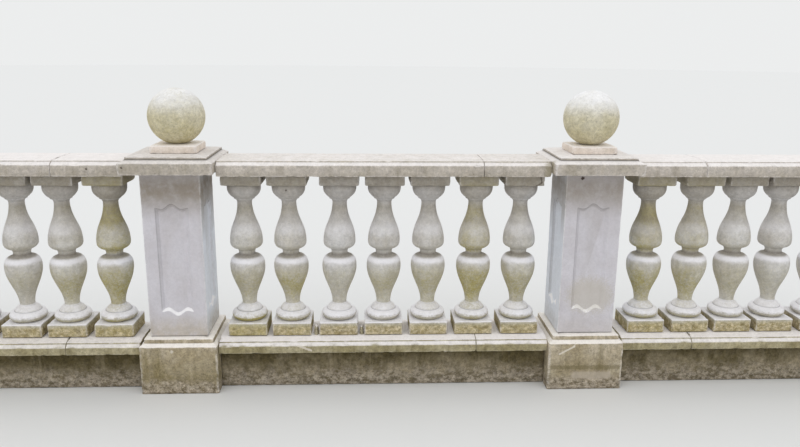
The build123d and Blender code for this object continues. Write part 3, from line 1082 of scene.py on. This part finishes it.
def top_rail(bay, stone):
    """A stone of the top rail, with soot low on its sides. One has lost a lower corner."""
    node = f"bay_{bay}_top_rail_{stone}"
    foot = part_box(node)[0][2]
    top_lichen = 1.0 if bay == photo_bay else 0.4
    run_of_stone(
        node, "rail_stone",
        rail_corners(node, band=51 * MM, ledge_width=22 * MM, ledge_rise=13.5 * MM, riser=4.5 * MM,
                     crest_half=10 * MM),
        rounding=4 * MM, hollow=1.5 * MM, chip=9 * MM,
        lichen_at=lambda place: top_lichen if place.z > foot + top_rail_ledge else side_lichen,
        soot_and_shade_at=lambda place: underside_soot * ramp(foot + underside_reach - place.z, 0, underside_reach),
        scoops=broken_corner if (bay, stone) == (photo_bay, "short") else (),
    )


def base_rail(bay, stone):
    """A stone of the base rail. One still carries two heaps of mortar."""
    node = f"bay_{bay}_base_rail_{stone}"
    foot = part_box(node)[0][2]
    top_lichen = base_rail_top_lichens[bay]
    run_of_stone(
        node, "base_rail_stone",
        rail_corners(node, band=35 * MM, ledge_width=16 * MM, ledge_rise=15.5 * MM, riser=4.5 * MM,
                     crest_half=95.5 * MM),
        rounding=2.5 * MM, hollow=1.5 * MM, chip=9 * MM,
        lichen_at=lambda place: top_lichen if place.z > foot + base_rail_ledge else side_lichen,
        soot_and_shade_at=lambda place: 0.0,
        lumps=mortar if (bay, stone) == (photo_bay, "long") else (),
    )


bays = sorted({int(name.split("_")[1]) for name in stone_nodes if name.startswith("bay")})
for bay in bays:
    for stone in ("long", "short"):
        top_rail(bay, stone)
        base_rail(bay, stone)
print("rail stones:", 4 * len(bays))

# %% Run the plinth walls
wet_bay = 1


def plinth_wall(bay):
    """The low wall under a base rail, darker towards the rail: stain, and painted shade under the rail's
    overhang.
    """
    node = f"bay_{bay}_plinth_wall"
    low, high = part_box(node)
    corners = [(high[1], low[2]), (high[1], high[2]), (low[1], high[2]), (low[1], low[2])]
    # Darker towards the top: painted shade under the rail, and stain.
    dark_from, dark_at, darkest = (0, 140 * MM, 0.95) if bay == wet_bay else (75 * MM, 175 * MM, 0.85)
    run_of_stone(
        node, "plinth_stone", corners, rounding=4 * MM, hollow=1.6 * MM, chip=4 * MM,
        lichen_at=lambda place: side_lichen,
        soot_and_shade_at=lambda place: darkest * ramp(place.z, dark_from, dark_at),
    )


for bay in bays:
    plinth_wall(bay)
print("plinth walls:", len(bays))

# %% [markdown]
# ## The balusters
#
# The baluster has the form of a turned one: a torus and a cushion carry a lower vase, a short waist
# leads to an upper vase, and a bell opens under the square abacus. A smoothed polygon would lose the
# tight turns, so the outline is drawn with Bezier curves from named sizes. Rings that follow it make
# every baluster.

# %% Draw the baluster's outline
plinth_height = 65 * MM
torus_radius = 83.5 * MM
torus_height = 44.5 * MM
cushion_radius = 58.5 * MM
cushion_foot = 1 * MM
cushion_height = 23.5 * MM
cushion_head_radius = 40 * MM
lower_neck_radius = 33.5 * MM
lower_neck_height = 13 * MM
lower_vase_radius = 82 * MM
lower_body_height = 173 * MM
lower_shoulder_height = 59 * MM
waist_radius = 37.5 * MM
waist_height = 28.5 * MM
waist_head_radius = 42.5 * MM
upper_vase_radius = 76.5 * MM
upper_shoulder_height = 34.5 * MM
upper_body_height = 186.5 * MM
upper_neck_radius = 34 * MM
bell_cove_height = 19 * MM
bell_lip_radius = 48.5 * MM
bell_lip_height = 4 * MM
echinus_height = 47 * MM
drum_radius = 77.5 * MM
drum_height = 19.5 * MM
abacus_height = 51 * MM
quarter_circle_pull = 0.5523
easing_rounds = 3


def curve(start, start_pull, end_pull, end, steps):
    """A Bezier curve's points before its end; the pulls are (outward, upward) steps from its ends."""
    first = start + Vector(start_pull)
    second = end + Vector(end_pull)
    points = []
    for step in range(steps):
        t = step / steps
        near_start = start * (1 - t) ** 3 + first * (3 * t * (1 - t) ** 2)
        points.append(near_start + second * (3 * t**2 * (1 - t)) + end * t**3)
    return points


def foot_outline(torus_foot):
    """The torus's half round, and the cushion that narrows to the lower neck."""
    half = torus_height / 2
    pull = quarter_circle_pull * half
    torus_side = torus_foot + Vector((half, half))
    torus_top = torus_foot + Vector((0, torus_height))
    cushion_side = Vector((cushion_radius, torus_top.y + cushion_foot))
    cushion_top = Vector((cushion_head_radius, cushion_side.y + cushion_height))
    neck = Vector((lower_neck_radius, cushion_top.y + lower_neck_height))
    rise = 0.4 * cushion_height
    fall = 0.4 * lower_neck_height
    points = curve(torus_foot, (pull, 0), (0, -pull), torus_side, 8)
    points += curve(torus_side, (0, pull), (pull, 0), torus_top, 8)
    points += curve(cushion_side, (0, rise), (rise, -rise / 2), cushion_top, 7)
    points += curve(cushion_top, (-fall, fall / 2), (0, -fall), neck, 4)
    return points, neck


def vases_outline(neck):
    """The two vases and the short waist between them, their joins eased."""
    belly = Vector((lower_vase_radius, neck.y + lower_body_height))
    waist = Vector((waist_radius, belly.y + lower_shoulder_height))
    waist_head = Vector((waist_head_radius, waist.y + waist_height))
    upper_belly = Vector((upper_vase_radius, waist_head.y + upper_shoulder_height))
    upper_neck = Vector((upper_neck_radius, upper_belly.y + upper_body_height))
    shoulder = (0.71 * (belly.x - waist.x), -0.04 * lower_shoulder_height)
    lean = (0.9 * (waist.x - waist_head.x), -0.3 * waist_height)
    flare = (0.52 * (upper_belly.x - waist_head.x), 0.12 * upper_shoulder_height)
    rise = 0.36 * lower_body_height
    taper = 0.46 * upper_body_height
    points = curve(neck, (0, rise), (0, -rise), belly, 16)
    points += curve(belly, (0, 0.71 * lower_shoulder_height), shoulder, waist, 14)
    points += curve(waist, (0, 0.4 * waist_height), lean, waist_head, 6)
    points += curve(waist_head, flare, (0, -0.67 * upper_shoulder_height), upper_belly, 12)
    points += curve(upper_belly, (0, taper), (0, -taper), upper_neck, 17)
    for _ in range(easing_rounds):
        middle = [(a + 2 * b + c) / 4 for a, b, c in zip(points, points[1:], points[2:])]
        points = points[:1] + middle + points[-1:]
    return points, upper_neck


def bell_outline(neck):
    """The cove, the narrow lip, the swelling echinus and the drum under the abacus."""
    lip_foot = Vector((bell_lip_radius, neck.y + bell_cove_height))
    echinus_foot = lip_foot + Vector((0, bell_lip_height))
    drum_foot = Vector((drum_radius, echinus_foot.y + echinus_height))
    cove = ((neck.x - lip_foot.x) / 2, -bell_cove_height / 6)
    swell = (0.5 * (drum_foot.x - echinus_foot.x), 0.16 * echinus_height)
    points = curve(neck, (0, 0.6 * bell_cove_height), cove, lip_foot, 7)
    points += [lip_foot]
    points += curve(echinus_foot, swell, (0, -0.5 * echinus_height), drum_foot, 9)
    points += spaced([drum_foot, drum_foot + Vector((0, drum_height))], 8 * MM)
    return points


def baluster_outline(foot):
    """The turned part's outline from the top of the plinth to the underside of the abacus."""
    torus_foot = Vector((torus_radius - torus_height / 2, foot + plinth_height))
    foot_points, neck = foot_outline(torus_foot)
    vase_points, upper_neck = vases_outline(neck)
    return foot_points + vase_points + bell_outline(upper_neck)


print("points in the baluster's outline:", len(baluster_outline(0)))

# %% [markdown]
# Rain washes a baluster's upper sides and never reaches the undersides, so its stains follow the
# height, and so does the shade painted under the bell and the upper vase. Painting each by hand would
# take 21 paintings. Rules by height serve them all, with a few amounts of their own for each.


# %% Stain a baluster
# The heights in this cell are in millimetres above the baluster's foot.
plinth_top = 66
torus_top = 112
waist_top = 390
abacus_foot = 718


def between(up, low, high, rise, fall):
    """1 between two heights, rising above the low one and falling towards the high one."""
    return ramp(up, low, low + rise) * ramp(high - up, 0, fall)


def shadow_soot(up, grime):
    """Soot and painted shade where rain and light don't reach: the bell, the waist and the joint at the
    foot.
    """
    grimy_neck = grime * ramp(720 - up, 0, 60)
    bell = ramp(up, 484 - 60 * grime, 542) * (0.62 + 0.26 * ramp(up, 690, 720) + grimy_neck)
    # Painted light: less painted shade on the bell's lip and echinus, as if lit from below.
    lit_from_below = between(up, 619, 712, 26, 62)
    # The waist's darkening is painted shade under the upper vase.
    waist = between(up, 366, 398, 8, 12)
    joint = ramp(7 - up, 0, 5)
    return max(min(1.0, bell) * (1 - (0.6 - grime) * lit_from_below), 0.9 * waist, joint)


def lichen_growth(up, upper, lower, foot_growth):
    """Lichen, thicker on the damp underside of the torus and low on the lower vase, thin on the bell."""
    if up < torus_top:
        under_torus = between(up, 64, torus_top, 4, 30)
        return foot_growth * (1 + 0.5 * under_torus) + 0.12 * under_torus
    if up < waist_top:
        return lower * (0.3 + 0.7 * ramp(352 - up, 0, 45))
    bell = between(up, 600, abacus_foot, 40, 2)
    return upper * (1 - 0.85 * bell) * (0.6 if up > abacus_foot else 1)


def plinth_algae(up):
    """Algae on the plinth's faces, thinner just above the rail and fading towards the plinth's top."""
    return ramp(plinth_top - up, 0, 32) * (1 - 0.3 * ramp(22 - up, 0, 16))


print("soot at the bell's lip:", round(shadow_soot(645, 0), 2))

# %% [markdown]
# The balusters were set by eye, so none stands quite upright or quite on its mark. Their feet and
# heads are moved by a few millimetres, read from the photograph in the middle bay and drawn by lot
# in the others.

# %% Shape one baluster
baluster_sides = 60
square_part_inset = 22 * MM
square_part_side = 25 * MM
square_part_corner = 5 * MM
square_part_points = 12
plinth_inset = 0.5 * MM
mouldings_height = 150 * MM
faint_hollow_mark = -0.2
# The plinth's sides in the gaps get painted shade.
gap_painted_shade_mark = -0.15
gap_height = 60
gap_reach = 78 * MM
# The torus's upper half is made paler, partly as wear and partly as a painted highlight.
torus_wear_and_highlight_mark = 0.6
pale_torus_height = 84


def add_square_part(bm, middle, half, bottom, top, lower_round, upper_round):
    """The plinth or the abacus: its lower edge, its sides and its upper edge as square rings."""
    side_foot = bottom + square_part_side
    side_head = side_foot + 1 * MM
    inner = half - square_part_inset
    lower_edge = rounded([(inner, bottom), (half, bottom), (half, side_foot)], lower_round)
    upper_edge = rounded([(half, side_head), (half, top), (inner, top)], upper_round)
    profile = spaced(lower_edge + upper_edge, 10 * MM)
    rows, marks = square_rows(profile, square_part_corner, square_part_points, middle)
    add_skin(bm, rows, [[0.6 * mark for mark in row] for row in marks])


def mark_baluster(bm, middle, foot, plinth_half):
    """Marks the plinth's sides in the gaps as a hollow, which paints shade there, and the upper half of the
    torus as an edge, which pales it as wear and as a painted highlight.
    """
    layer = bm.verts.layers.float["edge"]
    for vert in bm.verts:
        up = (vert.co.z - foot) / MM
        on_side = abs(vert.co.x - middle) > plinth_half - 4 * MM and abs(vert.co.y) < gap_reach
        if up < gap_height and on_side:
            vert[layer] = gap_painted_shade_mark
        elif pale_torus_height < up < torus_top and vert[layer] > hollow_mark:
            vert[layer] = torus_wear_and_highlight_mark


def set_baluster(node, foot_shift, head_shift, lichen, foot_growth, grime):
    """One baluster: plinth, turned part and abacus, leaning from its foot to its head."""
    low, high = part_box(node)
    middle = (low[0] + high[0]) / 2
    foot, head = low[2], high[2]
    abacus_half = half_length(node)
    plinth_half = abacus_half - plinth_inset
    profile = baluster_outline(foot)
    marks = [mark if point.y < foot + mouldings_height else max(mark, faint_hollow_mark)
             for mark, point in zip(standing_out(profile, 4 * MM), profile)]
    bm = bmesh.new()
    rows = turned_rows(profile, baluster_sides, middle)
    add_skin(bm, rows, [[mark] * baluster_sides for mark in marks])
    add_square_part(bm, middle, plinth_half, foot, foot + plinth_height, 5 * MM, 6 * MM)
    add_square_part(bm, middle, abacus_half, head - abacus_height, head, 12 * MM, 4 * MM)
    wear(bm, hollow=1.1 * MM, chip=8 * MM)
    mark_baluster(bm, middle, foot, plinth_half)
    darken_joint(bm, foot)
    stain(bm, "algae", lambda place: plinth_algae((place.z - foot) / MM))
    stain(bm, "soot_and_shade", lambda place: shadow_soot((place.z - foot) / MM, grime))
    stain(bm, "lichen", lambda place: lichen_growth((place.z - foot) / MM, *lichen, foot_growth))
    for vert in bm.verts:
        share = (vert.co.z - foot) / (head - foot)
        vert.co.x += foot_shift * (1 - share) + head_shift * share
    return place_stone(bm, node, "baluster_stone")


print("rings of", baluster_sides, "points round a baluster")

# %% Set the balusters
# The shifts and leans are in millimetres, for the middle bay from left to right.
balusters_per_bay = 7
foot_shifts = [0, -8, -3, -4.5, -5, -5, 1]
leans = [-7, -9, 10, 4, -3, 6, -4]
foot_growths = [1.1, 0.6, 0.25, 0.25, 0.35, 0.5, 0.5]
upper_lichens = {
    1: [0.4, 0.6, 0.5, 0.3, 0.4, 0.45, 1.3],
    2: [0.5, 0.45, 0.25, 0.35, 0.35, 1.15, 0.4],
    3: [1.1, 0.9, 0.5, 0.3, 0.3, 0.5, 0.7],
}
lower_lichens = {
    1: [0.8, 1.0, 0.9, 0.6, 0.7, 1.0, 1.35],
    2: [0.9, 1.15, 0.7, 0.85, 1.0, 1.45, 1.15],
    3: [1.3, 1.1, 0.8, 0.6, 0.5, 0.8, 1.0],
}
grimy = {(1, 7): 0.38, (2, 6): 0.2, (3, 1): 0.38, (3, 2): 0.2}
lots = random.Random(11)
for bay in bays:
    for place in range(balusters_per_bay):
        foot_shift, lean, foot_growth = foot_shifts[place], leans[place], foot_growths[place]
        lichen = (upper_lichens[bay][place], lower_lichens[bay][place])
        grime = grimy.get((bay, place + 1), 0.0)
        if bay != photo_bay:
            foot_shift, lean = lots.uniform(-5, 5), lots.uniform(-8, 8)
            foot_growth = 0.5 * lichen[1]
        node = f"bay_{bay}_baluster_{place + 1}"
        set_baluster(node, foot_shift * MM, (foot_shift + lean) * MM, lichen, foot_growth, grime)
print("balusters:", balusters_per_bay * len(bays))

# %% [markdown]
# ## Light and floor
#
# The photograph was taken under a bright overcast sky: the tops are white, the faces are a soft
# grey and there are no sharp shadows. A picture of a sky could light it too, but would need an image
# file. A pale world and one wide lamp overhead give the same. The backdrop that the camera and the
# reflections see is paler than the sky that lights the stone.

# %% Light the stone
sky_colour = (0.96, 0.98, 1.0, 1)
sky_strength = 0.68
backdrop_colour = (0.84, 0.85, 0.85, 1)
cloud_strength = 1.2
cloud_width = math.radians(120)
cloud_turn = (math.radians(14), 0, math.radians(-15))

overcast = Finish(bpy.data.worlds.new("overcast"))
scene.world = overcast.owner
camera_ray, glossy_ray, transmission_ray = [
    overcast.node("ShaderNodeLightPath", output=ray)
    for ray in ("Is Camera Ray", "Is Glossy Ray", "Is Transmission Ray")
]
seen = camera_ray.math("MAXIMUM", camera_ray, glossy_ray)
seen = seen.math("MAXIMUM", seen, transmission_ray)
sky = overcast.node("ShaderNodeBackground", {}, {"Color": sky_colour, "Strength": sky_strength})
backdrop = overcast.node("ShaderNodeBackground", {}, {"Color": backdrop_colour, "Strength": 1.0})
choice = overcast.node("ShaderNodeMixShader", {}, {0: seen, 1: sky, 2: backdrop})
overcast.node("ShaderNodeOutputWorld", {}, {"Surface": choice})

cloud = bpy.data.lights.new("bright cloud", "SUN")
cloud.energy = cloud_strength
cloud.angle = cloud_width
lamp = bpy.data.objects.new("bright cloud", cloud)
lamp.rotation_euler = cloud_turn
scene.collection.objects.link(lamp)
print("lamp of strength", cloud_strength, "under a sky of strength", sky_strength)

# %% Lay the floor
floor_radius = 60
floor_colour = (0.8, 0.8, 0.79, 1)
floor_mesh = bpy.data.meshes.new("floor")
bm = bmesh.new()
bmesh.ops.create_circle(bm, cap_ends=True, segments=64, radius=floor_radius)
bm.to_mesh(floor_mesh)
bm.free()
floor = bpy.data.objects.new("floor", floor_mesh)
scene.collection.objects.link(floor)
floor_paint = Finish(bpy.data.materials.new("pale floor"))
paint = floor_paint.node("ShaderNodeBsdfDiffuse", {}, {"Color": floor_colour})
floor_paint.node("ShaderNodeOutputMaterial", {}, {"Surface": paint})
floor_mesh.materials.append(floor_paint.owner)
scene.view_settings.view_transform = "Standard"
print("floor of", floor_radius, "m radius laid")
